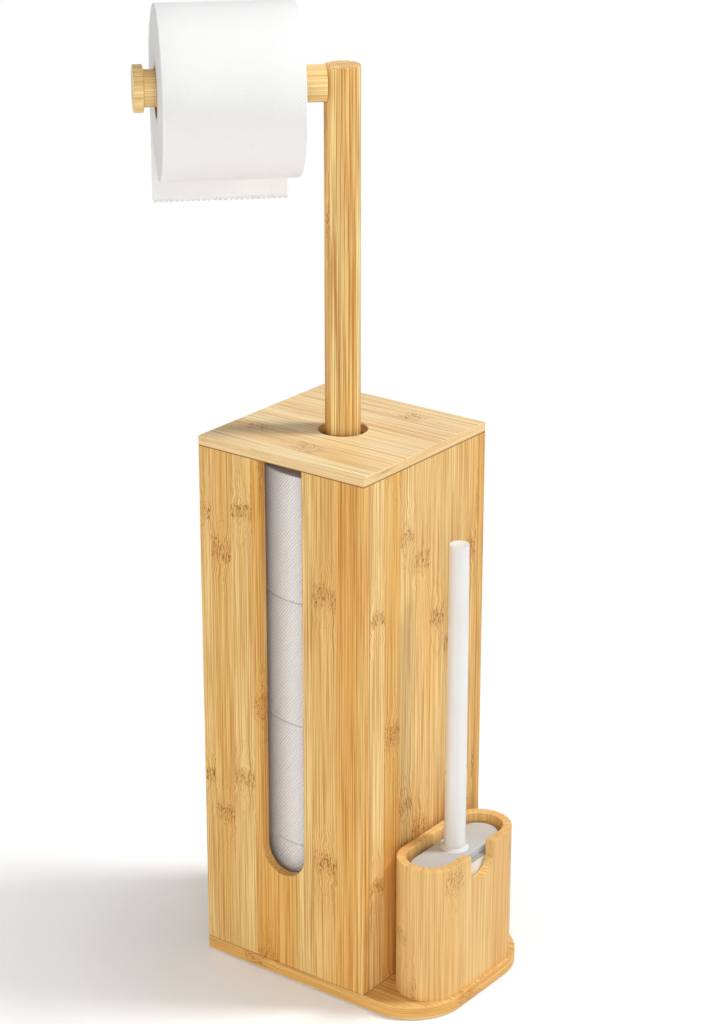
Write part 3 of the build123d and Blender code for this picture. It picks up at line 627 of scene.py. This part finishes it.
photo = {
    "place": (1.1873, -1.5698, 1.1393),
    "forward": (-0.5605, 0.7467, -0.3582),
    "lens": 93.8,
    "sensor": 36.0,
    "farthest": 50.0,
}
lens = bpy.data.cameras.new("camera")
lens.lens = photo["lens"]
lens.sensor_width = photo["sensor"]
lens.sensor_fit = "AUTO"
lens.clip_end = photo["farthest"]
camera = addObject("camera", lens)
camera.location = photo["place"]
camera.rotation_euler = Vector(photo["forward"]).to_track_quat("-Z", "Y").to_euler()
bpy.context.scene.camera = camera

# the key light stands high behind the right side, as the shadows to the left show, a second one overhead,
# and two wide soft ones fill, the stronger from beside the camera, so that it reaches the rolls in the slot
lamps = {
    "key": {"from": (0.44, 0.33, 0.835), "size": 0.7, "watts": 75.0},
    "over": {"from": (0.14, 0.10, 0.985), "size": 0.9, "watts": 7.0},
    "fill": {"from": (0.60, -0.79, 0.13), "size": 2.2, "watts": 54.0},
    "left": {"from": (-0.77, -0.63, 0.10), "size": 2.2, "watts": 29.0},
}
studio = {
    "aim": (0, 0, 0.4),
    "lampDistance": 3.4,
    "shadeStrength": 0.2,          # what the world adds to the lamps
    "shadeTint": (1.0, 0.98, 0.95, 1.0),
}
for name, lamp in lamps.items():
    light = bpy.data.lights.new(name, "AREA")
    light.shape = "DISK"
    light.size = lamp["size"]
    light.energy = lamp["watts"]
    holder = addObject(name, light)
    holder.location = Vector(studio["aim"]) + Vector(lamp["from"]) * studio["lampDistance"]
    holder.rotation_euler = (-Vector(lamp["from"])).to_track_quat("-Z", "Y").to_euler()


def straightlySeen(tree):
    # 1 where the camera sees the surface, also by way of gloss or glass, and 0 where only light falls
    path = addNode(tree, "LightPath", output="Is Camera Ray")
    seen = path
    for ray in ("Is Glossy Ray", "Is Transmission Ray"):
        seen = addNode(tree, "Math", {0: seen, 1: path.node.outputs[ray]}, operation="MAXIMUM")
    return seen


world = bpy.data.worlds.new("studio")
bpy.context.scene.world = world
world.use_nodes = True
tree = world.node_tree
tree.nodes.clear()
seen = straightlySeen(tree)
strength = addNode(tree, "MapRange", {"Value": seen, 3: studio["shadeStrength"], 4: 1.0})
tint = addNode(tree, "Mix", {0: seen, 6: studio["shadeTint"], 7: (1, 1, 1, 1)}, output=2, data_type="RGBA")
sky = addNode(tree, "Background", {"Color": tint, "Strength": strength})
out = tree.nodes.new("ShaderNodeOutputWorld")
tree.links.new(sky, out.inputs["Surface"])

# The floor is white paper that keeps the shadow near the stand, and plain white further out
floorPaper = {
    "radius": 14.0,
    "sides": 96,
    "colour": "F6F5F4",
    "shadowFades": (0.16, 0.6),    # metres from the stand's axis, where it starts to fade and is gone
    "liftGrows": (0.04, 0.24),
    "lift": (0.12, 0.34),          # the painted glow that keeps the shadow light, near the stand and beside it; weaker near the stand, it leaves the floor there darker as painted shade
    "liftTint": (0.94, 0.97, 1, 1),
}
floorMesh = bmesh.new()
bmesh.ops.create_circle(floorMesh, cap_ends=True, segments=floorPaper["sides"], radius=floorPaper["radius"])
floorData = bpy.data.meshes.new("floor")
floorMesh.to_mesh(floorData)
floorMesh.free()
floor = addObject("floor", floorData)
floorPaint, tree, shader = newMaterial("floorPaint", Base_Color=linear(floorPaper["colour"]), Roughness=0.9,
                                       Specular_IOR_Level=0.1, Emission_Color=floorPaper["liftTint"])
seen = straightlySeen(tree)
place = addNode(tree, "TexCoord", output="Object")
near = addNode(tree, "VectorMath", {0: place}, output="Value", operation="LENGTH")
start, gone = floorPaper["shadowFades"]
away = addNode(tree, "MapRange", {"Value": near, 1: start, 2: gone}, interpolation_type="SMOOTHSTEP")
away = addNode(tree, "Math", {0: away, 1: seen}, operation="MULTIPLY")
glow = addNode(tree, "Emission", {"Color": (1, 1, 1, 1), "Strength": 1.0})
start, grown = floorPaper["liftGrows"]
least, most = floorPaper["lift"]
lift = addNode(tree, "MapRange", {"Value": near, 1: start, 2: grown, 3: least, 4: most})
lift = addNode(tree, "Math", {0: lift, 1: seen}, operation="MULTIPLY")
tree.links.new(lift, shader.inputs["Emission Strength"])
both = addNode(tree, "MixShader", {0: away, 1: shader.outputs[0], 2: glow})
tree.links.new(both, tree.nodes["Material Output"].inputs["Surface"])
floorData.materials.append(floorPaint)
bpy.context.scene.view_settings.view_transform = "Standard"
print("camera, lamps and floor placed")
